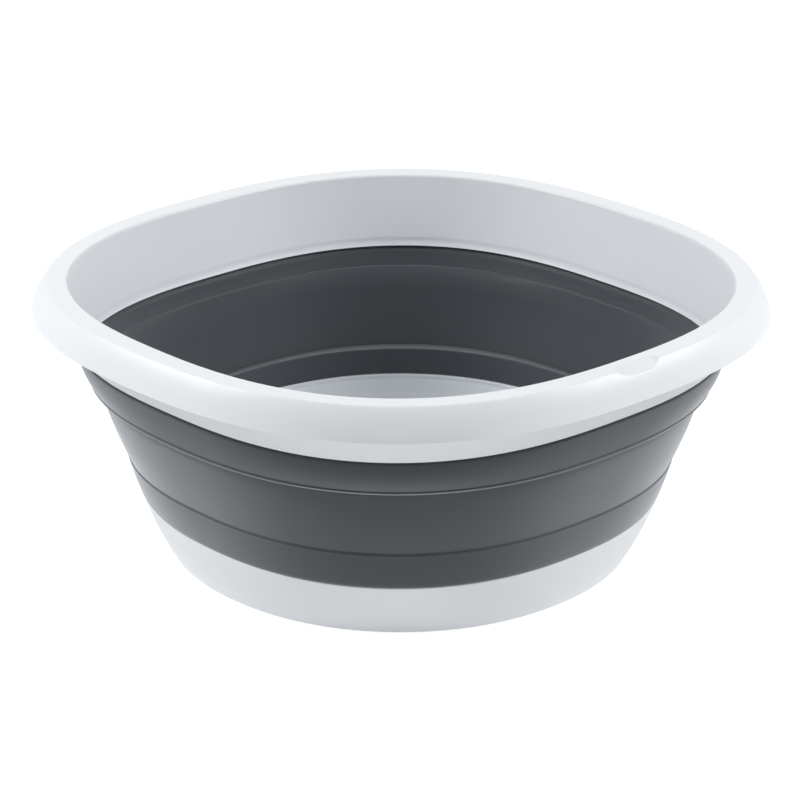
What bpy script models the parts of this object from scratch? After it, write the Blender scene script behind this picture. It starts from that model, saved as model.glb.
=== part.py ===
"""Collapsible wash basin: a stiff rim and a stiff base cup, joined by a soft folding wall.

The plan is a rounded square. Every level of the basin is a ring whose outline is a superellipse,
so a piece is a loft between rings of unlike size, some rounder and some squarer. The part stands
on its foot with its origin at the middle of the foot, and +Z is up. It is modelled open, at full
height.
"""
import math

import bmesh
import bpy

mm = 0.001

# Widths: the foot's width across the flats, and how far each zone flares out on each side
foot_width = 256.0 * mm
base_flare = 12.3 * mm
shoulder_flare = 5.6 * mm
panel_flare = 13.2 * mm
upper_flare = 2.9 * mm
collar_flare = 8.4 * mm
top_band_width = 12.5 * mm
skirt_flare = 7.1 * mm

# Heights, stacked from the surface that the basin stands on
cup_height = 41.5 * mm
shoulder_height = 14.5 * mm
panel_height = 40.2 * mm
upper_band_height = 15.3 * mm
collar_height = 43.5 * mm
skirt_depth = 16.8 * mm

# How far the soft wall laps down over the cup and up over the collar, outside
lower_lap = 8.0 * mm
upper_lap = 6.7 * mm

# How far the plan's corners reach toward the corners of the full square: 0.707 is a circle, 1 a square
foot_corner_share = 0.717
cup_corner_share = 0.735
ledge_corner_share = 0.732
panel_corner_share = 0.744
lip_corner_share = 0.758
collar_corner_share = 0.765
mouth_corner_share = 0.759
crown_corner_share = 0.754
skirt_corner_share = 0.756

# Walls of the stiff mouldings
cup_wall = 2.4 * mm
cup_bow = 1.2 * mm
collar_wall = 2.0 * mm
crown_wall = 2.0 * mm
tongue_wall = 1.4 * mm
lap_tongue_wall = 1.0 * mm
lap_cover = 1.5 * mm
tongue_rise = 11.0 * mm
tongue_cover = 2.0 * mm

# Edges of the stiff mouldings
mouth_radius = 1.2 * mm
crown_drop = 0.7 * mm
crease_setback = 1.6 * mm
skirt_bulge = 1.6 * mm
skirt_tip = 0.6 * mm
collar_fillet = 1.5 * mm

# Foot: a ring pressed down from a raised floor
foot_radius = 5.0 * mm
foot_land = 12.0 * mm
floor_rise = 2.5 * mm
floor_wall = 2.4 * mm
floor_fillet = 4.0 * mm

# Soft wall
panel_wall = 1.9 * mm
panel_bow = 0.3 * mm
hinge_web = 1.1 * mm
shoulder_bow = 0.5 * mm
shoulder_stand = 0.7 * mm
shoulder_edge = 1.2 * mm
ledge_width = 4.8 * mm
ledge_rise = 1.1 * mm
ledge_radius = 0.9 * mm
upper_bow = 0.3 * mm

# The panel's head: a thin lip that stands up inside the foot of the upper band
lip_wall = 1.2 * mm
lip_rise = 5.6 * mm
lip_flare = 1.5 * mm
lip_step = 1.0 * mm

# The upper band's foot overhangs the panel and ends in a small bead
foot_overhang = 1.7 * mm
bead_reach = 2.6 * mm
bead_rise = 1.3 * mm
bead_height = 1.1 * mm
bead_drop = 0.5 * mm
knee_reach = 2.9 * mm

# Bare oval recess on the crown at the middle of one side
recess_length = 27.0 * mm
recess_width = 12.0 * mm
recess_depth = 1.2 * mm
recess_reach = 8.0 * mm

# Space left between meshes that touch on the real basin: straight up, and sideways at a slanted face
seat_gap = 0.3 * mm
slant_gap = 0.4 * mm

# Counts
ring_points = 64
skirt_steps = 5
bow_steps = 4
cup_steps = 4
upper_steps = 6
corner_steps = 3
fillet_steps = 2
recess_points = 28

# A rounded corner takes at most this share of each side, and edges bent more than the angle are sharp
corner_reach_share = 0.45
sharp_edge_degrees = 35

# Heights of the levels above the surface that the basin stands on
lower_edge_z = cup_height - lower_lap
lower_hinge_z = cup_height + shoulder_height
upper_hinge_z = lower_hinge_z + panel_height
collar_foot_z = upper_hinge_z + upper_band_height
upper_edge_z = collar_foot_z + upper_lap
top_z = collar_foot_z + collar_height
skirt_z = top_z - skirt_depth

# Half widths of the outside at those levels
foot_half = foot_width / 2
lower_edge_half = foot_half + base_flare
lower_hinge_half = lower_edge_half + shoulder_flare
upper_hinge_half = lower_hinge_half + panel_flare
collar_foot_half = upper_hinge_half + upper_flare
mouth_half = collar_foot_half + collar_flare
crown_half = mouth_half + top_band_width
skirt_half = crown_half + skirt_flare

# Stations: half width across the flats, height, corner share
foot_station = (foot_half, 0.0, foot_corner_share)
lower_edge_station = (lower_edge_half, lower_edge_z, cup_corner_share)
lower_hinge_station = (lower_hinge_half, lower_hinge_z, panel_corner_share)
upper_hinge_station = (upper_hinge_half, upper_hinge_z, panel_corner_share)
collar_foot_station = (collar_foot_half, collar_foot_z, collar_corner_share)
mouth_station = (mouth_half, top_z, mouth_corner_share)


def blend_stations(start, end, share):
    """The station a given share of the way from start to end."""
    return tuple(a + (b - a) * share for a, b in zip(start, end))


def level(start, end, height):
    """The station at a height on the straight line through two stations."""
    return blend_stations(start, end, (height - start[1]) / (end[1] - start[1]))


def moved(station, outward, upward=0.0):
    """A station moved outward and upward."""
    half, height, corner_share = station
    return (half + outward, height + upward, corner_share)


def with_corners(station, corner_share):
    """The same half width and height on a rounder or squarer outline."""
    return (station[0], station[1], corner_share)


def bowed(start, end, bow, steps):
    """Stations from start to end along a shallow arch that stands outward by bow."""
    run = end[0] - start[0]
    rise = end[1] - start[1]
    length = math.hypot(run, rise)
    out, up = abs(rise) / length, -run / length * math.copysign(1, rise)
    stations = []
    for step in range(steps + 1):
        share = step / steps
        lift = 4 * bow * share * (1 - share)
        stations.append(moved(blend_stations(start, end, share), out * lift, up * lift))
    return stations


def curved(start, knee, end, steps):
    """Stations on a smooth curve from start to end, drawn toward the knee between them."""
    stations = []
    for step in range(steps + 1):
        share = step / steps
        first = blend_stations(start, knee, share)
        second = blend_stations(knee, end, share)
        stations.append(blend_stations(first, second, share))
    return stations


def corner(before, point, after, radius, steps):
    """Stations of a rounded corner at point, tangent to the lines from before and to after."""

    def toward(target):
        run, rise = target[0] - point[0], target[1] - point[1]
        share = min(radius / math.hypot(run, rise), corner_reach_share)
        return blend_stations(point, target, share)

    return curved(toward(before), point, toward(after), steps)


def outline_radius(half_width, corner_share, angle):
    """Distance from the axis to a superellipse of this half width, in the direction of angle."""
    power = -1 / math.log2(corner_share)
    across, along = abs(math.cos(angle)), abs(math.sin(angle))
    return half_width / (across ** power + along ** power) ** (1 / power)


def add_ring(mesh, station, origin_z):
    """One closed ring of vertices on the outline at a station."""
    half_width, height, corner_share = station
    ring = []
    for point in range(ring_points):
        angle = 2 * math.pi * point / ring_points
        radius = outline_radius(half_width, corner_share, angle)
        spot = (radius * math.cos(angle), radius * math.sin(angle), height - origin_z)
        ring.append(mesh.verts.new(spot))
    return ring


def bridge(mesh, first, second):
    """Faces between two rings."""
    for point in range(ring_points):
        after = (point + 1) % ring_points
        mesh.faces.new((first[point], first[after], second[after], second[point]))


def loft(name, stations, origin_z, material, capped=False):
    """A lofted solid: a closed ring of wall, or a cup whose two end rings are capped."""
    mesh = bmesh.new()
    rings = [add_ring(mesh, station, origin_z) for station in stations]
    for first, second in zip(rings, rings[1:]):
        bridge(mesh, first, second)
    if capped:
        mesh.faces.new(rings[0])
        mesh.faces.new(rings[-1])
    else:
        bridge(mesh, rings[-1], rings[0])
    bmesh.ops.recalc_face_normals(mesh, faces=mesh.faces[:])
    data = bpy.data.meshes.new(name)
    mesh.to_mesh(data)
    mesh.free()
    data.shade_smooth()
    data.set_sharp_from_angle(angle=math.radians(sharp_edge_degrees))
    data.materials.append(material)
    piece = bpy.data.objects.new(name, data)
    piece.location.z = origin_z
    parts.objects.link(piece)
    return piece


def make_material(name, colour, roughness):
    material = bpy.data.materials.new(name)
    material.use_nodes = True
    shader = material.node_tree.nodes["Principled BSDF"]
    shader.inputs["Base Color"].default_value = (*colour, 1.0)
    shader.inputs["Roughness"].default_value = roughness
    shader.inputs["Metallic"].default_value = 0.0
    return material


def cup_outer(height):
    """The outside of the cup's wall, which bows outward a little below the soft lap."""
    share = height / lower_edge_z
    station = blend_stations(foot_station, lower_edge_station, share)
    return moved(station, 4 * cup_bow * share * (1 - share))


def shoulder_outer(height):
    """The straight line up the outside of the soft shoulder."""
    return level(lower_edge_station, lower_hinge_station, height)


def tongue_outer(height):
    """The outer face of the cup's tongue, which stands inside the soft shoulder."""
    return moved(shoulder_outer(height), -tongue_cover)


def collar_inner(height):
    """The inside of the collar."""
    return level(collar_foot_station, mouth_station, height)


# The shoulder's inner face stands a ledge's width inside the panel's foot
panel_foot_inner = moved(lower_hinge_station, -panel_wall)
ledge_inner = with_corners(moved(panel_foot_inner, -ledge_width, ledge_rise), ledge_corner_share)
cup_inner_edge = moved(lower_edge_station, -cup_wall)
shoulder_foot = level(cup_inner_edge, ledge_inner, cup_height)

# The panel's head: the inner and outer face of its lip, at the foot and at the top
head_inner = moved(upper_hinge_station, -panel_wall)
lip_inner = with_corners(moved(head_inner, lip_flare, lip_rise), lip_corner_share)
lip_outer_foot = moved(head_inner, lip_wall)
lip_outer = moved(lip_inner, lip_wall)


def make_base_cup():
    """Floor, raised on a foot ring, wall, and the tongue that stiffens the soft shoulder."""
    tongue_top_z = cup_height + tongue_rise
    land_outer = moved(foot_station, -foot_radius)
    land_inner = moved(land_outer, -foot_land)
    floor_edge = moved(land_inner, -floor_rise, floor_rise)
    trough_inner = moved(land_inner, 0.0, floor_wall)
    floor_top_edge = moved(floor_edge, 0.0, floor_wall)
    rabbet_foot = moved(lower_edge_station, -lap_cover - seat_gap)
    rabbet_top = tongue_outer(cup_height)
    tongue_top = tongue_outer(tongue_top_z)
    side = [cup_outer(lower_edge_z * step / cup_steps) for step in range(cup_steps + 1)]
    inner_side = [moved(station, -cup_wall) for station in side]
    trough_outer = moved(cup_outer(floor_wall), -cup_wall)
    stations = [floor_edge, land_inner]
    stations += corner(land_inner, foot_station, side[1], foot_radius, corner_steps)
    stations += side[1:] + [rabbet_foot, rabbet_top, tongue_top]
    stations += [moved(tongue_top, -tongue_wall), moved(rabbet_top, -tongue_wall)]
    stations += [shoulder_foot] + inner_side[:0:-1]
    stations += corner(inner_side[1], trough_outer, trough_inner, floor_fillet, corner_steps)
    stations += [trough_inner, floor_top_edge]
    return loft("base_cup", stations, 0.0, white_plastic, capped=True)


def make_lower_band():
    """Soft shoulder: laps over the cup outside, wraps its tongue, and ends in the lower hinge."""
    tongue_top_z = cup_height + tongue_rise
    slot_top_outer = moved(tongue_outer(tongue_top_z), seat_gap, seat_gap)
    slot_top_inner = moved(tongue_outer(tongue_top_z), -tongue_wall - seat_gap, seat_gap)
    skin_foot_outer = moved(tongue_outer(cup_height), -tongue_wall - seat_gap, seat_gap)
    skin_foot_inner = moved(shoulder_foot, 0.0, seat_gap)
    lap_foot = moved(lower_edge_station, 0.0, seat_gap)
    lap_foot_inner = moved(lower_edge_station, -lap_cover, seat_gap)
    lap_top_inner = moved(tongue_outer(cup_height), seat_gap)
    seat = moved(lower_hinge_station, shoulder_stand, -seat_gap)
    seat_inner = moved(panel_foot_inner, -seat_gap, -seat_gap)
    ledge_outer = moved(panel_foot_inner, -seat_gap, ledge_rise)
    stations = corner(ledge_outer, ledge_inner, skin_foot_inner, ledge_radius, corner_steps)
    stations += [skin_foot_inner, skin_foot_outer, slot_top_inner, slot_top_outer]
    stations += [lap_top_inner, lap_foot_inner]
    side = bowed(lap_foot, seat, shoulder_bow, bow_steps)
    stations += side[:-1] + corner(side[-2], seat, seat_inner, shoulder_edge, corner_steps)
    stations += [seat_inner, ledge_outer]
    return loft("lower_band", stations, 0.0, grey_rubber)


def make_fold_panel():
    """The tall soft panel between the two hinge lines. It turns inside out as the basin closes."""
    foot_outer = lower_hinge_station
    head_outer = upper_hinge_station
    foot_web = moved(foot_outer, -hinge_web)
    foot_inner = moved(level(foot_outer, head_outer, lower_hinge_z + ledge_rise), -panel_wall)
    stations = bowed(foot_outer, head_outer, panel_bow, bow_steps)
    stations += [lip_outer_foot, lip_outer, lip_inner]
    stations += bowed(foot_inner, head_inner, panel_bow, bow_steps)[::-1]
    stations += [foot_web]
    return loft("fold_panel", stations, lower_hinge_z, grey_rubber)


def make_upper_band():
    """Soft band that laps up over the collar outside and ends in the upper hinge."""
    tongue_face = moved(collar_foot_station, lap_tongue_wall + seat_gap, -seat_gap)
    lap_inner = moved(collar_inner(upper_edge_z), lap_tongue_wall + seat_gap, -seat_gap)
    lap_outer = moved(collar_inner(upper_edge_z), collar_wall, -seat_gap)
    throat = moved(collar_foot_station, 0.0, -seat_gap)
    lip_seat = moved(lip_inner, lip_step, seat_gap)
    lip_rebate = moved(level(lip_outer_foot, lip_outer, lip_seat[1]), slant_gap)
    foot_inner = moved(level(lip_outer_foot, lip_outer, upper_hinge_z + seat_gap), slant_gap)
    foot_outer = moved(upper_hinge_station, foot_overhang, seat_gap)
    bead_peak = moved(upper_hinge_station, bead_reach, bead_rise)
    bead_top = moved(bead_peak, -bead_drop, bead_height)
    knee = with_corners(moved(upper_hinge_station, knee_reach, bead_rise), collar_corner_share)
    stations = [foot_inner, foot_outer, bead_peak]
    stations += curved(bead_top, knee, lap_outer, upper_steps)
    stations += [lap_inner, tongue_face]
    stations += bowed(lip_seat, throat, upper_bow, bow_steps)[::-1]
    stations += [lip_rebate]
    return loft("upper_band", stations, upper_hinge_z, grey_rubber)


def make_rim_frame():
    """Collar, top band and hanging skirt in one moulding, open below between collar and skirt."""
    crease = (crown_half, top_z - crown_drop, crown_corner_share)
    crown_edge = moved(crease, -crease_setback, crown_drop)
    skirt_edge = (skirt_half, skirt_z, skirt_corner_share)
    under_edge = moved(crown_edge, 0.0, -crown_wall)
    under_crease = moved(crease, -crown_wall, -crown_wall)
    skirt_inner_edge = moved(skirt_edge, -crown_wall)
    collar_head = moved(collar_inner(top_z - crown_wall), collar_wall)
    lap_step = moved(collar_inner(upper_edge_z), collar_wall)
    mouth_corner = collar_inner(top_z)
    stations = [collar_foot_station]
    stations += corner(collar_foot_station, mouth_corner, crown_edge, mouth_radius, corner_steps)
    stations += [crown_edge]
    stations += bowed(crease, skirt_edge, skirt_bulge, skirt_steps)[:-1]
    stations += [moved(skirt_edge, 0.0, skirt_tip), moved(skirt_edge, -skirt_tip)]
    stations += [moved(skirt_inner_edge, skirt_tip), moved(skirt_inner_edge, 0.0, skirt_tip)]
    stations += bowed(skirt_inner_edge, under_crease, skirt_bulge, skirt_steps)[1:]
    stations += [under_edge]
    stations += corner(under_edge, collar_head, lap_step, collar_fillet, fillet_steps)
    stations += [lap_step, moved(collar_inner(upper_edge_z), lap_tongue_wall)]
    stations += [moved(collar_foot_station, lap_tongue_wall)]
    frame = loft("rim_frame", stations, upper_hinge_z, white_plastic)
    cut_recess(frame, crease, skirt_edge)
    return frame


def cut_recess(frame, crease, skirt_edge):
    """The shallow oval on the crown at the middle of the front side."""
    arch = bowed(crease, skirt_edge, skirt_bulge, skirt_steps)
    centre, below = arch[0], arch[1]
    slope = math.atan2(centre[1] - below[1], below[0] - centre[0])
    tilt = slope / 2
    middle = (0.0, -centre[0], centre[1])
    outward = (0.0, -math.sin(tilt), math.cos(tilt))
    lift = recess_reach / 2 - recess_depth
    spot = [place + lift * way for place, way in zip(middle, outward)]
    bpy.ops.mesh.primitive_cylinder_add(
        vertices=recess_points, radius=recess_length / 2, depth=recess_reach, location=spot,
    )
    cutter = bpy.context.object
    cutter.name = "recess_cutter"
    for vertex in cutter.data.vertices:
        vertex.co.y *= recess_width / recess_length
    cutter.rotation_euler = (tilt, 0.0, 0.0)
    cutter.hide_render = True
    cutter.display_type = "WIRE"
    for holder in list(cutter.users_collection):
        holder.objects.unlink(cutter)
    cutters.objects.link(cutter)
    cut = frame.modifiers.new("oval_recess", "BOOLEAN")
    cut.operation = "DIFFERENCE"
    cut.solver = "EXACT"
    cut.object = cutter


for old in list(bpy.data.objects):
    bpy.data.objects.remove(old, do_unlink=True)

parts = bpy.data.collections.new("collapsible_wash_basin")
cutters = bpy.data.collections.new("cutters")
bpy.context.scene.collection.children.link(parts)
bpy.context.scene.collection.children.link(cutters)

white_plastic = make_material("white_plastic", (0.80, 0.83, 0.86), 0.38)
grey_rubber = make_material("grey_rubber", (0.052, 0.055, 0.062), 0.5)

make_base_cup()
make_lower_band()
make_fold_panel()
rim_pieces = [make_upper_band(), make_rim_frame()]

# The rim and the band on it slide down together along the basin's axis
slide = bpy.data.objects.new("rim_slide", None)
slide.location.z = upper_hinge_z
parts.objects.link(slide)
for piece in rim_pieces:
    piece.parent = slide
    piece.location.z = 0.0
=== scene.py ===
"""Looks of the collapsible wash basin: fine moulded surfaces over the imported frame.

Every surface is a ring-by-ring loft. A station is (half width across the flats, height, corner
share): the outline at that level is a superellipse, whose corner share says how far its corners
reach toward the corners of the full square. A profile is a closed list of stations, with its edges
rounded, and one profile makes one closed piece.
"""
import math

import bmesh
import bpy
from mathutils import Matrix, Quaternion, Vector


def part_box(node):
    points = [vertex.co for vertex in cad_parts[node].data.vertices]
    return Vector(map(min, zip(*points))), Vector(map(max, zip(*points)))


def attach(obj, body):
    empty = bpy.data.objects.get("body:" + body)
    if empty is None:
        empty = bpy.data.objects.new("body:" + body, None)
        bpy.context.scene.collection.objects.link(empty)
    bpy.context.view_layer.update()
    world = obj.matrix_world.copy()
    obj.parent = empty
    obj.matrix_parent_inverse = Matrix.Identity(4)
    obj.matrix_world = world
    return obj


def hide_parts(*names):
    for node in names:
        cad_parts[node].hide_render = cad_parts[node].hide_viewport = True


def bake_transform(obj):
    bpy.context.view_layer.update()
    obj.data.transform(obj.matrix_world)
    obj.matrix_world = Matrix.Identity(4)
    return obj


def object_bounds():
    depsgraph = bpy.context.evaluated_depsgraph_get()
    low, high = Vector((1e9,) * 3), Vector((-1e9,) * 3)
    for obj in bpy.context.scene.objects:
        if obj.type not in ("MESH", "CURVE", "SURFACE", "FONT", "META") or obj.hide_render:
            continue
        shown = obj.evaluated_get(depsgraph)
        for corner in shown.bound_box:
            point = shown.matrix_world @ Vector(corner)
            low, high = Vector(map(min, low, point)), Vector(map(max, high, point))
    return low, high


mm = 0.001

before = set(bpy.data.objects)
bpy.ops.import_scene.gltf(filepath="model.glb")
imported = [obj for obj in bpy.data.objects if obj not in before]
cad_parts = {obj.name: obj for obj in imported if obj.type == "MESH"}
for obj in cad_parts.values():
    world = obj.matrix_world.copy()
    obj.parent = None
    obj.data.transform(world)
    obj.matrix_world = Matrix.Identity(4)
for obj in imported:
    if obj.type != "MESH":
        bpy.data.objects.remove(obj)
cad_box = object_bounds()

# Levels and widths that the frame gives
foot_z = cad_box[0].z
top_z = cad_box[1].z
skirt_half = cad_box[1].x
collar_foot_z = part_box("rim_frame")[0].z
lower_hinge_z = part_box("fold_panel")[0].z
lip_top_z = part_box("fold_panel")[1].z
ledge_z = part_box("lower_band")[1].z

# The frame leaves this space between pieces that touch. Here their seams are drawn closer
gap = 0.3 * mm
seam = 0.05 * mm

# Heights of the other levels
lower_edge_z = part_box("lower_band")[0].z - gap
upper_hinge_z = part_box("upper_band")[0].z - gap
upper_edge_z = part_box("upper_band")[1].z + gap
cup_top_z = 41.0 * mm
skirt_z = 138.2 * mm
collar_foot_lift = 0.4 * mm
crease_drop = 0.7 * mm

# Half widths of the outside, and how round or square each level is
foot = (128.0 * mm, foot_z, 0.717)
lower_edge = (140.0 * mm, lower_edge_z, 0.735)
lower_hinge = (145.7 * mm, lower_hinge_z, 0.741)
upper_hinge = (159.1 * mm, upper_hinge_z, 0.744)
collar_foot = (162.3 * mm, collar_foot_z + collar_foot_lift, 0.766)
mouth = (170.4 * mm, top_z, 0.759)
crease = (182.9 * mm, top_z - crease_drop, 0.754)
skirt_edge = (skirt_half, skirt_z, 0.756)
ledge_share = 0.732
lip_share = 0.758

# Walls, and the stiff tongues that stand inside the soft ones
cup_wall = 2.4 * mm
cup_bow = 1.2 * mm
collar_wall = 2.0 * mm
crown_wall = 2.0 * mm
panel_wall = 1.9 * mm
tongue_cover = 2.0 * mm
tongue_wall = 1.4 * mm
tongue_rise = 11.0 * mm
lap_cover = 1.5 * mm
lap_tongue_wall = 0.9 * mm

# Rim: its mouth, crown and skirt, and the cove at the collar's foot
mouth_ease = 2.0 * mm
mouth_radius = 1.3 * mm
crown_edge_setback = 1.0 * mm
skirt_bulge = 1.2 * mm
skirt_tip_radius = 0.9 * mm
cove_height = 5.2 * mm
cove_depth = 0.42 * mm
cove_edge_radius = 0.9 * mm
edge_radius = 0.45 * mm

# Cup: its foot and floor, and the edges of its wall
foot_radius = 1.2 * mm
foot_rounding = 1.0 * mm
foot_land = 12.0 * mm
floor_rise = 2.5 * mm
floor_wall = 2.4 * mm
floor_fillet = 4.0 * mm
cup_edge_inset = 0.8 * mm
cup_edge_ease = 1.8 * mm
cup_lip_height = 1.6 * mm
cup_groove_height = 2.6 * mm
cup_groove_depth = 0.28 * mm

# Lower band: its shoulder, its lap over the cup and its inner ledge
shoulder_bow = 0.3 * mm
shoulder_stand = 0.5 * mm
shoulder_rounding = 1.0 * mm
shoulder_fall = 0.55 * mm
shoulder_groove_height = 1.8 * mm
lap_drop = 0.5 * mm
lap_rounding = 2.0 * mm
lap_inset = 0.7 * mm
ledge_width = 4.8 * mm
ledge_fall = 0.7 * mm
ledge_rounding = 2.0 * mm

# Folding panel: its two hinges, the lip at its head, and what its corners gain halfway up
hinge_drop = 0.25 * mm
hinge_web = 1.1 * mm
panel_bow = 0.3 * mm
panel_swell = 0.0035
lip_wall = 1.2 * mm
lip_flare = 1.5 * mm
lip_drop = 0.7 * mm
lip_rounding = 1.2 * mm
lip_blend = 6.0 * mm

# Upper band: its bead, its bulge and its lap up over the collar
foot_overhang = 0.9 * mm
bead_reach = 3.0 * mm
bead_height = 2.4 * mm
bead_fall = 2.9 * mm
bead_crease_reach = 2.75 * mm
bead_crease_height = 3.2 * mm
bead_crease_share = 0.753
knee_reach = 4.8 * mm
knee_rise = 12.0 * mm
knee_share = 0.7735
upper_bow = 0.2 * mm
upper_lap_rounding = 1.3 * mm
lap_groove_depth = 1.0 * mm
lap_groove_lip = 0.4 * mm
lap_groove_height = 1.3 * mm
groove_depth = 1.5 * mm
groove_height = 2.0 * mm
groove_lip = 1.0 * mm
groove_rounding = 3.0 * mm
lip_step = 1.0 * mm
soft_radius = 0.35 * mm

# Bare oval recess on the crown, near the middle of the -Y side
recess_side_angle = 1.5 * math.pi
recess_x = -4.0 * mm
recess_inset = 2.3 * mm
recess_tilt_degrees = 24.0
recess_length = 32.0 * mm
recess_width = 12.5 * mm
recess_depth = 1.55 * mm
recess_edge_share = 0.15

# How finely the surfaces are divided
ring_points = 240
recess_arc_degrees = 6.0
recess_step_degrees = 0.15
long_steps = 24
panel_steps = 48
curve_steps = 16
corner_steps = 6
longest_rounding_share = 0.5
sharp_edge_degrees = 40

# Materials: the noise that colours, glosses and roughens them. A scale is in cells per metre
noise_low, noise_high = 0.3, 0.7
cloud_scale, cloud_detail = 14.0, 3.0
patch_scale, patch_detail = 45.0, 4.0
wave_scale, wave_detail = 22.0, 1.0
wave_depth, wave_strength = 0.4 * mm, 0.15
grain_detail = 2.0

white_pale = (0.80, 0.83, 0.858)
white_deep = (0.785, 0.816, 0.846)
white_roughness = (0.35, 0.42)
white_grain_scale, white_grain_depth, white_grain_strength = 800.0, 0.03 * mm, 0.3
white_ior = 1.49

grey_pale = (0.046, 0.049, 0.058)
grey_deep = (0.042, 0.045, 0.054)
grey_roughness = (0.42, 0.5)
grey_grain_scale, grey_grain_depth, grey_grain_strength = 1500.0, 0.04 * mm, 0.5
grey_specular_level = 0.15
grey_sheen_weight = 0.72
grey_sheen_roughness = 0.5
grey_sheen_tint = (0.92, 0.96, 1.0, 1.0)


def between(start, end, share):
    """The station a given share of the way from start to end."""
    return tuple(a + (b - a) * share for a, b in zip(start, end))


def at_height(start, end, height):
    """The station at a height on the straight line through two stations."""
    return between(start, end, (height - start[1]) / (end[1] - start[1]))


def moved(station, outward, upward=0.0):
    """A station moved outward and upward."""
    return (station[0] + outward, station[1] + upward, station[2])


def arch(share):
    """A low arch: 0 at both ends and 1 halfway."""
    return 4 * share * (1 - share)


def curved(start, knee, end, steps):
    """Stations on a smooth curve from start to end, drawn toward the knee between them."""
    stations = []
    for step in range(steps + 1):
        share = step / steps
        stations.append(between(between(start, knee, share), between(knee, end, share), share))
    return stations


def bowed(start, end, bow, steps):
    """Stations from start to end along a shallow arch that stands outward by bow."""
    run, rise = end[0] - start[0], end[1] - start[1]
    length = math.hypot(run, rise)
    out, up = abs(rise) / length, -run / length * math.copysign(1, rise)
    stations = []
    for step in range(steps + 1):
        share = step / steps
        lift = bow * arch(share)
        stations.append(moved(between(start, end, share), out * lift, up * lift))
    return stations


def swollen(stations, share):
    """The same stations with corners that reach farther, most of all halfway along."""
    last = len(stations) - 1
    return [
        (half_width, height, corner_share + share * arch(step / last))
        for step, (half_width, height, corner_share) in enumerate(stations)
    ]


def rounded(profile):
    """A closed profile whose entries are stations, or (station, radius) for an edge to round."""
    points = [entry if isinstance(entry[0], tuple) else (entry, 0.0) for entry in profile]
    stations = []
    for index, (point, radius) in enumerate(points):
        if radius == 0.0:
            stations.append(point)
            continue
        ends = []
        for other in (points[index - 1][0], points[(index + 1) % len(points)][0]):
            length = math.hypot(other[0] - point[0], other[1] - point[1])
            ends.append(between(point, other, min(radius / length, longest_rounding_share)))
        stations += curved(ends[0], point, ends[1], corner_steps)
    return stations


def outline_radius(half_width, corner_share, angle):
    """Distance from the axis to the outline of this half width, in the direction of angle."""
    power = -1 / math.log2(corner_share)
    across, along = abs(math.cos(angle)), abs(math.sin(angle))
    return half_width / (across ** power + along ** power) ** (1 / power)


def even_angles():
    """Directions of a ring's points, evenly spread."""
    return [2 * math.pi * point / ring_points for point in range(ring_points)]


def recess_angles():
    """The same directions, closer together round the recess on the -Y side."""
    middle = recess_side_angle + recess_x / crease[0]
    reach = math.radians(recess_arc_degrees)
    angles = [angle for angle in even_angles() if abs(angle - middle) > reach]
    count = round(2 * recess_arc_degrees / recess_step_degrees)
    angles += [middle - reach + 2 * reach * step / count for step in range(count + 1)]
    return sorted(angles)


def loft(name, profile, material, angles=None, capped=False):
    """A closed piece: a ring of wall, or a cup whose two end rings are capped."""
    angles = angles or even_angles()
    mesh = bmesh.new()
    rings = []
    for half_width, height, corner_share in rounded(profile):
        ring = []
        for angle in angles:
            radius = outline_radius(half_width, corner_share, angle)
            place = (radius * math.cos(angle), radius * math.sin(angle), height)
            ring.append(mesh.verts.new(place))
        rings.append(ring)
    pairs = list(zip(rings, rings[1:]))
    if capped:
        mesh.faces.new(rings[0])
        mesh.faces.new(rings[-1])
    else:
        pairs.append((rings[-1], rings[0]))
    for first, second in pairs:
        for point in range(len(angles)):
            after = (point + 1) % len(angles)
            mesh.faces.new((first[point], first[after], second[after], second[point]))
    bmesh.ops.recalc_face_normals(mesh, faces=mesh.faces[:])
    data = bpy.data.meshes.new(name)
    mesh.to_mesh(data)
    mesh.free()
    data.shade_smooth()
    data.set_sharp_from_angle(angle=math.radians(sharp_edge_degrees))
    data.materials.append(material)
    piece = bpy.data.objects.new(name, data)
    bpy.context.scene.collection.objects.link(piece)
    return piece


def add_noise(nodes, links, scale, detail):
    """A noise texture over the object's own coordinates."""
    place = nodes.new("ShaderNodeTexCoord")
    noise = nodes.new("ShaderNodeTexNoise")
    noise.inputs["Scale"].default_value = scale
    noise.inputs["Detail"].default_value = detail
    links.new(place.outputs["Object"], noise.inputs["Vector"])
    return noise.outputs["Fac"]


def add_range(nodes, links, source, low, high):
    """The middle of a noise's values, spread over the range from low to high."""
    spread = nodes.new("ShaderNodeMapRange")
    spread.inputs["From Min"].default_value = noise_low
    spread.inputs["From Max"].default_value = noise_high
    spread.inputs["To Min"].default_value = low
    spread.inputs["To Max"].default_value = high
    links.new(source, spread.inputs["Value"])
    return spread.outputs["Result"]


def add_bump(nodes, links, height, depth, strength, below=None):
    """A bump of a given depth, stacked on the bump below it."""
    bump = nodes.new("ShaderNodeBump")
    bump.inputs["Distance"].default_value = depth
    bump.inputs["Strength"].default_value = strength
    links.new(height, bump.inputs["Height"])
    if below:
        links.new(below, bump.inputs["Normal"])
    return bump.outputs["Normal"]


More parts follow.
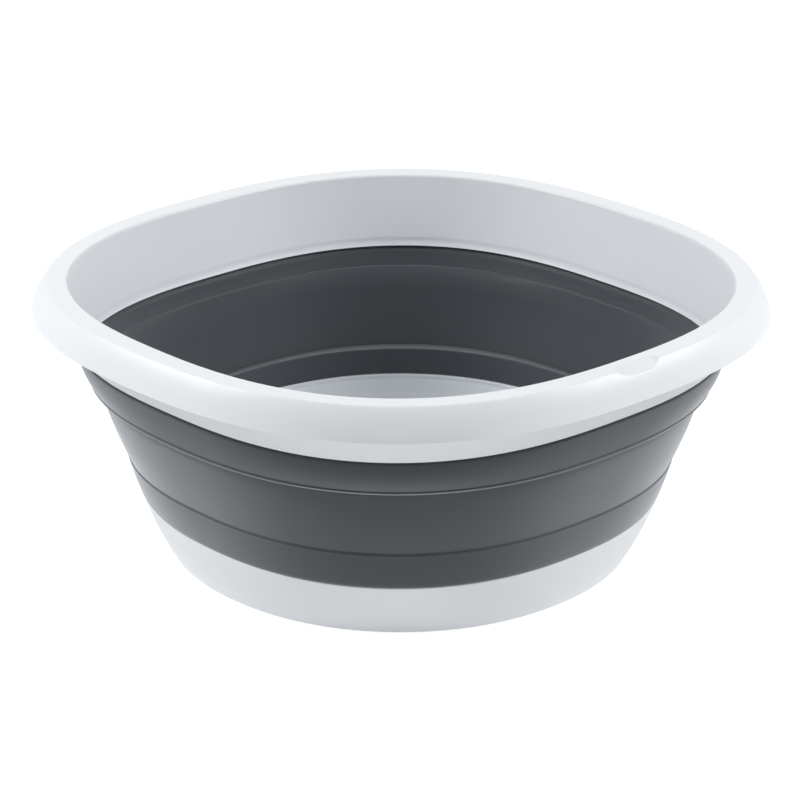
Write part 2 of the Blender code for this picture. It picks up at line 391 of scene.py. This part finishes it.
def moulded(name, pale, deep, rough, grain_scale, grain_depth, grain_strength):
    """A moulded material: clouds of two near colours, uneven gloss, long waves, fine grain."""
    material = bpy.data.materials.new(name)
    material.use_nodes = True
    nodes, links = material.node_tree.nodes, material.node_tree.links
    shader = nodes["Principled BSDF"]
    clouds = add_noise(nodes, links, cloud_scale, cloud_detail)
    mix = nodes.new("ShaderNodeMix")
    mix.data_type = "RGBA"
    mix.inputs["A"].default_value = (*deep, 1.0)
    mix.inputs["B"].default_value = (*pale, 1.0)
    links.new(add_range(nodes, links, clouds, 0.0, 1.0), mix.inputs["Factor"])
    links.new(mix.outputs["Result"], shader.inputs["Base Color"])
    patches = add_noise(nodes, links, patch_scale, patch_detail)
    links.new(add_range(nodes, links, patches, *rough), shader.inputs["Roughness"])
    waves = add_noise(nodes, links, wave_scale, wave_detail)
    waves = add_bump(nodes, links, waves, wave_depth, wave_strength)
    grain = add_noise(nodes, links, grain_scale, grain_detail)
    grain = add_bump(nodes, links, grain, grain_depth, grain_strength, waves)
    links.new(grain, shader.inputs["Normal"])
    return material, shader


def make_white_plastic():
    """Cool white polypropylene with a satin gloss."""
    material, shader = moulded(
        "white_plastic", white_pale, white_deep, white_roughness,
        white_grain_scale, white_grain_depth, white_grain_strength,
    )
    shader.inputs["IOR"].default_value = white_ior
    return material


def make_grey_rubber():
    """Dark grey thermoplastic rubber, finely grained and soft in its gloss."""
    material, shader = moulded(
        "grey_rubber", grey_pale, grey_deep, grey_roughness,
        grey_grain_scale, grey_grain_depth, grey_grain_strength,
    )
    shader.inputs["Specular IOR Level"].default_value = grey_specular_level
    shader.inputs["Sheen Weight"].default_value = grey_sheen_weight
    shader.inputs["Sheen Roughness"].default_value = grey_sheen_roughness
    shader.inputs["Sheen Tint"].default_value = grey_sheen_tint
    return material


def cup_outer(height):
    """The outside of the cup's wall, which bows outward a little below the soft lap."""
    share = (height - foot_z) / (lower_edge_z - foot_z)
    return moved(between(foot, lower_edge, share), cup_bow * arch(share))


def tongue_outer(height):
    """The outer face of the cup's tongue, inside the soft shoulder."""
    return moved(at_height(lower_edge, lower_hinge, height), -tongue_cover)


def collar_inner(height):
    """The inside of the collar."""
    return at_height(collar_foot, mouth, height)


# Stations where two pieces meet
panel_foot = moved(lower_hinge, 0.0, -hinge_drop)
panel_foot_inner = moved(at_height(lower_hinge, upper_hinge, ledge_z), -panel_wall)
hinge_inner = moved(panel_foot, -hinge_web)
ledge_inner = (panel_foot_inner[0] - ledge_width, ledge_z, ledge_share)
lap_foot = moved(lower_edge, 0.0, -lap_drop)
shoulder_foot = (lower_edge[0] - cup_wall, cup_top_z, ledge_share)
head_inner = moved(upper_hinge, -panel_wall)
lip_inner = (head_inner[0] + lip_flare, lip_top_z - lip_drop, lip_share)
lip_outer_foot = moved(head_inner, lip_wall)
lip_outer = moved(lip_inner, lip_wall)


def base_cup_profile():
    """Floor, foot ring, side wall, and the tongue inside the soft shoulder."""
    tongue_top = tongue_outer(cup_top_z + tongue_rise)
    rabbet_top = tongue_outer(cup_top_z)
    land_outer = moved(foot, -foot_radius)
    land_inner = moved(land_outer, -foot_land)
    floor_edge = moved(land_inner, -floor_rise, floor_rise)
    trough_inner = moved(land_inner, 0.0, floor_wall)
    side_foot, side_top = foot_z + foot_rounding, lap_foot[1] - cup_edge_ease
    side_step = (side_top - side_foot) / curve_steps
    side = [cup_outer(side_foot + side_step * step) for step in range(curve_steps + 1)]
    edge = moved(lap_foot, -cup_edge_inset, -seam)
    inner_foot = floor_wall + floor_fillet
    inner_side = [moved(station, -cup_wall) for station in side if station[1] > inner_foot]
    lip_foot = moved(shoulder_foot, 0.0, -cup_lip_height)
    groove_foot = moved(lip_foot, 0.0, -cup_groove_height)
    groove = bowed(lip_foot, groove_foot, cup_groove_depth, curve_steps)
    fillet_corner = moved(foot, -cup_wall, floor_wall)
    fillet_end = moved(trough_inner, floor_fillet)
    profile = [floor_edge, (land_inner, floor_rise)]
    profile += curved(land_outer, foot, side[0], curve_steps)
    profile += side[1:-1] + curved(side[-1], lap_foot, edge, curve_steps)
    profile += [moved(lap_foot, -lap_cover - gap, -seam), rabbet_top, tongue_top]
    profile += [moved(tongue_top, -tongue_wall), moved(rabbet_top, -tongue_wall)]
    profile += [(shoulder_foot, edge_radius), lip_foot] + groove[1:]
    profile += inner_side[::-1]
    profile += curved(inner_side[0], fillet_corner, fillet_end, curve_steps)[1:]
    profile += [(trough_inner, floor_rise), (moved(floor_edge, 0.0, floor_wall), floor_rise / 2)]
    return profile


def lower_band_profile():
    """Soft shoulder: laps over the cup outside, wraps its tongue, and holds the panel's foot."""
    tongue_top_z = cup_top_z + tongue_rise
    slot_outer = moved(tongue_outer(tongue_top_z), seam, seam)
    slot_inner = moved(tongue_outer(tongue_top_z), -tongue_wall - seam, seam)
    throat = moved(tongue_outer(cup_top_z), -tongue_wall - seam, seam)
    seat = moved(panel_foot, shoulder_stand)
    seat_edge = moved(seat, 0.0, -shoulder_fall)
    side = bowed(lap_foot, seat, shoulder_bow, long_steps)
    lowest, highest = lap_foot[1] + lap_rounding, seat[1] - shoulder_rounding
    side = [station for station in side if lowest < station[1] < highest]
    ledge_start = moved(ledge_inner, ledge_rounding, -ledge_fall)
    ledge_end = moved(ledge_inner, 0.0, -ledge_rounding)
    groove_top = at_height(shoulder_foot, ledge_end, shoulder_foot[1] + shoulder_groove_height)
    profile = [panel_foot_inner]
    profile += curved(ledge_start, ledge_inner, ledge_end, curve_steps)
    profile += curved(groove_top, moved(shoulder_foot, 0.0, seam), throat, curve_steps)
    profile += [slot_inner, slot_outer]
    profile += [moved(tongue_outer(cup_top_z), seam), moved(lap_foot, -lap_cover)]
    profile += curved(moved(lap_foot, -lap_inset), lap_foot, side[0], curve_steps)
    profile += side[1:-1]
    profile += curved(side[-1], seat_edge, moved(panel_foot, seam), curve_steps)
    profile += [hinge_inner]
    return profile


def fold_panel_profile():
    """The folding panel, with the lip at its head that stands up inside the upper band."""
    head_outer = moved(upper_hinge, 0.0, gap)
    blend_foot = at_height(panel_foot_inner, head_inner, head_inner[1] - lip_blend)
    lip_side = at_height(head_inner, lip_inner, lip_inner[1] - lip_rounding)
    lip_foot = at_height(head_inner, lip_inner, lip_side[1] - lip_rounding)
    outer = swollen(bowed(lower_hinge, upper_hinge, panel_bow, panel_steps), panel_swell)
    inner = swollen(bowed(panel_foot_inner, blend_foot, panel_bow, panel_steps), panel_swell)
    profile = [panel_foot] + outer + [head_outer]
    profile += [moved(lip_outer_foot, 0.0, gap)]
    profile += curved(lip_outer, lip_inner, lip_side, curve_steps)
    profile += curved(lip_foot, head_inner, blend_foot, curve_steps)
    profile += inner[-2::-1] + [hinge_inner]
    return profile


def upper_band_profile():
    """Soft band that laps up over the collar, swells at the corners and ends in a bead."""
    lap = collar_inner(upper_edge_z)
    lap_outer = moved(lap, collar_wall)
    lap_edge = moved(lap_outer, 0.0, -lap_groove_height)
    lap_back = moved(lap_edge, -lap_groove_depth)
    slot_reach = lap_tongue_wall + seam
    throat = moved(collar_foot, 0.0, -groove_height)
    throat_back = moved(throat, groove_depth)
    lip_seat = moved(lip_inner, lip_step, seam)
    foot_end = moved(upper_hinge, foot_overhang, gap)
    hinge_half, hinge_z, _ = upper_hinge
    bead_top = (hinge_half + bead_reach, hinge_z + bead_height, bead_crease_share)
    bead_shoulder = moved(bead_top, 0.0, bead_fall - bead_height)
    bead_crease = (hinge_half + bead_crease_reach, hinge_z + bead_crease_height, bead_crease_share)
    knee = (hinge_half + knee_reach, hinge_z + knee_rise, knee_share)
    side = curved(bead_crease, knee, lap_edge, long_steps)
    side = [station for station in side if station[1] < lap_edge[1] - upper_lap_rounding]
    inner = bowed(lip_seat, throat, upper_bow, long_steps)
    inner = [station for station in inner if station[1] < throat[1] - groove_rounding]
    profile = [moved(lip_outer_foot, seam, gap)]
    profile += curved(foot_end, moved(upper_hinge, bead_reach, gap), bead_top, corner_steps)
    profile += curved(bead_top, bead_shoulder, bead_crease, corner_steps)[1:]
    profile += side[1:]
    profile += curved(side[-1], lap_edge, moved(lap_edge, -lap_groove_lip), curve_steps)[1:]
    profile += [lap_back, (lap_back[0], lap_outer[1] - seam, lap_back[2])]
    profile += [moved(lap, slot_reach, -seam), moved(collar_foot, slot_reach, -seam)]
    profile += [moved(collar_foot, groove_depth, -seam), throat_back]
    profile += curved(moved(throat, groove_lip), throat, inner[-1], curve_steps)
    profile += inner[-2:0:-1] + [(lip_seat, soft_radius), moved(lip_outer, seam, seam)]
    return profile


def rim_profile():
    """Collar with a cove at its foot, flat top band, and skirt that curls down outside."""
    crown_edge = (crease[0] - crown_edge_setback, top_z, crease[2])
    skirt_inner = moved(skirt_edge, -crown_wall)
    under_crease = moved(crease, -crown_wall, -crown_wall)
    lap = collar_inner(upper_edge_z)
    cove_head = collar_inner(collar_foot[1] + cove_height)
    cove = bowed(collar_foot, cove_head, cove_depth, curve_steps)
    cove = [station for station in cove if station[1] < cove_head[1] - cove_edge_radius]
    cove_end = collar_inner(cove_head[1] + cove_edge_radius)
    ease_foot = collar_inner(top_z - mouth_ease)
    ease_head = moved(mouth, mouth_radius)
    band = [between(ease_head, crown_edge, step / long_steps) for step in range(1, long_steps)]
    skirt = bowed(crease, skirt_edge, skirt_bulge, 2 * long_steps)
    skirt = [station for station in skirt if station[1] < crease[1] - crown_edge_setback]
    crown_corner = at_height(skirt[1], skirt[0], top_z)
    profile = [(collar_foot, edge_radius / 2)] + cove[2:]
    profile += curved(cove[-1], cove_head, cove_end, corner_steps)[1:]
    profile += curved(ease_foot, mouth, ease_head, curve_steps) + band
    profile += curved(crown_edge, crown_corner, skirt[0], curve_steps) + skirt[1:-2]
    profile += [(skirt_edge, skirt_tip_radius), (skirt_inner, skirt_tip_radius)]
    profile += bowed(skirt_inner, under_crease, skirt_bulge, long_steps)[2:]
    profile += [moved(crown_edge, 0.0, -crown_wall)]
    profile += [(moved(collar_inner(top_z - crown_wall), collar_wall), crown_wall)]
    profile += [(moved(lap, collar_wall), edge_radius)]
    profile += [moved(lap, lap_tongue_wall), moved(collar_foot, lap_tongue_wall)]
    return profile


def press_recess(rim):
    """Presses the flat-bottomed oval into the crown on the -Y side, and its wall down with it."""
    tilt = math.radians(recess_tilt_degrees)
    outward = Vector((0.0, -math.sin(tilt), math.cos(tilt)))
    downhill = Vector((0.0, -math.cos(tilt), -math.sin(tilt)))
    centre = Vector((recess_x, recess_inset - crease[0], top_z)) - outward * recess_depth
    under = [vertex.normal.z < 0 for vertex in rim.data.vertices]
    for vertex, is_under in zip(rim.data.vertices, under):
        away = vertex.co - centre
        height = away.dot(outward) + (crown_wall if is_under else 0.0)
        reach = math.hypot(2 * away.x / recess_length, 2 * away.dot(downhill) / recess_width)
        if height > 0 and reach < 1:
            share = min((1 - reach) / recess_edge_share, 1.0)
            vertex.co -= outward * height * share * share * (3 - 2 * share)


def make_basin():
    """The five pieces of the basin: four each on its body, and the folding panel on none."""
    white, grey = make_white_plastic(), make_grey_rubber()
    cup = loft("base_cup_moulding", base_cup_profile(), white, capped=True)
    shoulder = loft("lower_band_moulding", lower_band_profile(), grey)
    panel = loft("fold_panel_moulding", fold_panel_profile(), grey)
    band = loft("upper_band_moulding", upper_band_profile(), grey)
    rim = loft("rim_frame_moulding", rim_profile(), white, angles=recess_angles())
    press_recess(rim)
    for piece, body, node in (
        (cup, "base", "base_cup"), (shoulder, "base", "lower_band"),
        (band, "rim", "upper_band"), (rim, "rim", "rim_frame"),
    ):
        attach(piece, body)
        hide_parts(node)
    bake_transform(panel)
    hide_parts("fold_panel")


# The camera stands where the photograph was taken from, as the outlines there give it
camera_turn_degrees = -42.8
camera_rise_degrees = 21.77
camera_roll_degrees = 0.15
camera_distance = 1.7
camera_lens = 136.9
camera_sensor = 36.0
aim_height = 80.8 * mm
aim_right = -0.2 * mm

# Studio: a pale lit floor, a faint even sky, and four soft lamps
white = (1.0, 1.0, 1.0, 1.0)
floor_size = 8.0
sky_strength = 0.14
background_strength = 1.0
floor_colour = (0.62, 0.62, 0.62, 1.0)
floor_glow = 0.38
shown_floor_colour = (0.3, 0.3, 0.3, 1.0)
shown_floor_glow = 0.86
lamp_distance = 1.7
side_lamp_size = 0.7
small_lamp_size = 0.5
left_lamp_rise = 41.0
left_lamp_watts = 20.0
right_lamp_rise = 38.0
right_lamp_watts = 18.8
front_lamp_rise = 15.0
front_lamp_watts = 2.5
top_lamp_rise = 76.0
top_lamp_watts = 1.2


def make_camera():
    """The photograph's view. Returns the camera's own right, and the way back to it."""
    turn, rise = math.radians(camera_turn_degrees), math.radians(camera_rise_degrees)
    right = Vector((math.cos(turn), math.sin(turn), 0.0))
    level = math.cos(rise)
    back = Vector((math.sin(turn) * level, -math.cos(turn) * level, math.sin(rise)))
    data = bpy.data.cameras.new("camera")
    data.lens = camera_lens
    data.sensor_width = camera_sensor
    camera = bpy.data.objects.new("camera", data)
    camera.location = Vector((0.0, 0.0, aim_height)) + right * aim_right + back * camera_distance
    roll = Quaternion((0.0, 0.0, 1.0), math.radians(camera_roll_degrees))
    camera.rotation_euler = (back.to_track_quat("Z", "Y") @ roll).to_euler()
    bpy.context.scene.collection.objects.link(camera)
    bpy.context.scene.camera = camera
    return right, back


def make_sky():
    """An even pale sky, shown as white."""
    world = bpy.data.worlds.new("studio")
    bpy.context.scene.world = world
    world.use_nodes = True
    nodes, links = world.node_tree.nodes, world.node_tree.links
    light = nodes["Background"]
    light.inputs["Color"].default_value = white
    light.inputs["Strength"].default_value = sky_strength
    shown = nodes.new("ShaderNodeBackground")
    shown.inputs["Color"].default_value = white
    shown.inputs["Strength"].default_value = background_strength
    path = nodes.new("ShaderNodeLightPath")
    seen = nodes.new("ShaderNodeMath")
    seen.operation = "MAXIMUM"
    links.new(path.outputs["Is Camera Ray"], seen.inputs[0])
    links.new(path.outputs["Is Glossy Ray"], seen.inputs[1])
    mix = nodes.new("ShaderNodeMixShader")
    links.new(seen.outputs["Value"], mix.inputs["Fac"])
    links.new(light.outputs["Background"], mix.inputs[1])
    links.new(shown.outputs["Background"], mix.inputs[2])
    links.new(mix.outputs["Shader"], nodes["World Output"].inputs["Surface"])


def make_floor():
    """A pale floor that shows nearly white and keeps the basin's soft shadow."""
    bpy.ops.mesh.primitive_plane_add(size=floor_size, location=(0.0, 0.0, foot_z))
    floor = bpy.context.object
    floor.name = "studio_floor"
    material = bpy.data.materials.new("studio_floor")
    material.use_nodes = True
    nodes, links = material.node_tree.nodes, material.node_tree.links
    nodes.remove(nodes["Principled BSDF"])
    path = nodes.new("ShaderNodeLightPath")
    mix = nodes.new("ShaderNodeMixShader")
    links.new(path.outputs["Is Camera Ray"], mix.inputs["Fac"])
    looks = ((floor_colour, floor_glow), (shown_floor_colour, shown_floor_glow))
    for place, (colour, strength) in enumerate(looks, start=1):
        matt = nodes.new("ShaderNodeBsdfDiffuse")
        matt.inputs["Color"].default_value = colour
        glow = nodes.new("ShaderNodeEmission")
        glow.inputs["Strength"].default_value = strength
        both = nodes.new("ShaderNodeAddShader")
        links.new(matt.outputs["BSDF"], both.inputs[0])
        links.new(glow.outputs["Emission"], both.inputs[1])
        links.new(both.outputs["Shader"], mix.inputs[place])
    links.new(mix.outputs["Shader"], nodes["Material Output"].inputs["Surface"])
    floor.data.materials.append(material)


def add_lamp(name, direction, rise_degrees, size, watts):
    """A square lamp that looks at the basin from a level direction, raised by an angle."""
    rise = math.radians(rise_degrees)
    direction = direction * math.cos(rise) + Vector((0.0, 0.0, math.sin(rise)))
    data = bpy.data.lights.new(name, "AREA")
    data.size = size
    data.energy = watts
    lamp = bpy.data.objects.new(name, data)
    lamp.location = direction * lamp_distance + Vector((0.0, 0.0, aim_height))
    lamp.rotation_euler = direction.to_track_quat("Z", "Y").to_euler()
    bpy.context.scene.collection.objects.link(lamp)


make_basin()
camera_right, camera_back = make_camera()
level_back = Vector((camera_back.x, camera_back.y, 0.0)).normalized()
add_lamp("left_softbox", -camera_right, left_lamp_rise, side_lamp_size, left_lamp_watts)
add_lamp("right_softbox", camera_right, right_lamp_rise, side_lamp_size, right_lamp_watts)
add_lamp("front_softbox", level_back, front_lamp_rise, small_lamp_size, front_lamp_watts)
add_lamp("top_softbox", level_back, top_lamp_rise, small_lamp_size, top_lamp_watts)
make_sky()
make_floor()
bpy.context.scene.view_settings.view_transform = "Standard"
